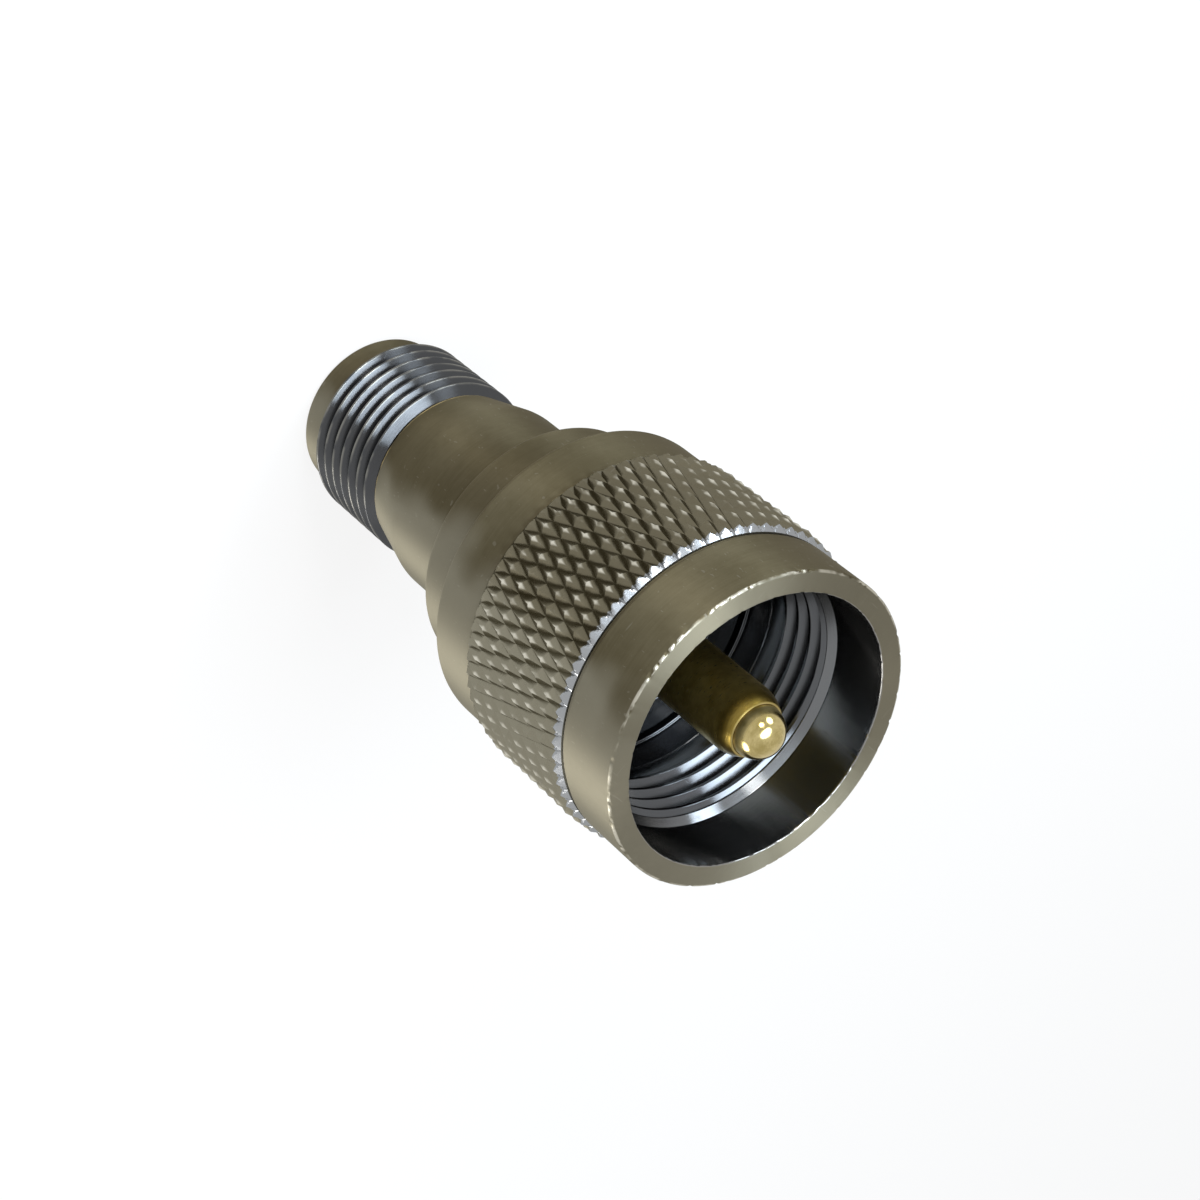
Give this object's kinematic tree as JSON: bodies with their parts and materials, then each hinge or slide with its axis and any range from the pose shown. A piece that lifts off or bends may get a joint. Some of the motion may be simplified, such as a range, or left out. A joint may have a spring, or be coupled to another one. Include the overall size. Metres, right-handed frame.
{
  "type": "coaxial adapter",
  "caption": "Straight coaxial adapter: a plug with a knurled captive coupling nut and gold pin at one end, a small threaded jack with a slotted socket at the other.",
  "frame": {"origin": "centre of the jack's nose end face, on which the adapter stands", "axes": "+Z along the adapter's axis, from the jack to the plug; +X towards the snap ring's opening"},
  "size_m": [0.0196, 0.0196, 0.0397],
  "materials": {
    "nickel_plate": "nickel plate on brass, satin outside, bright inside",
    "gold_plate": "gold plate, polished",
    "white_insulator": "white fluoropolymer, machined",
    "spring_bronze": "bare spring bronze"
  },
  "bodies": {
    "body": {"main_body": "nickel_plate", "front_insulator": "white_insulator", "rear_insulator": "white_insulator", "centre_pin": "gold_plate", "socket_contact": "gold_plate"},
    "retaining_ring": {"snap_ring": "spring_bronze"},
    "nut": {"coupling_nut": "nickel_plate"}
  },
  "joints": [
    {"name": "nut_float", "type": "slide", "parent": "body", "child": "retaining_ring", "axis": [0, 0, 1], "range_m": [0, 0.0015]},
    {"name": "nut_spin", "type": "hinge", "parent": "retaining_ring", "child": "nut", "pos_m": [0, 0, 0.0237], "axis": [0, 0, 1], "continuous": true}
  ]
}
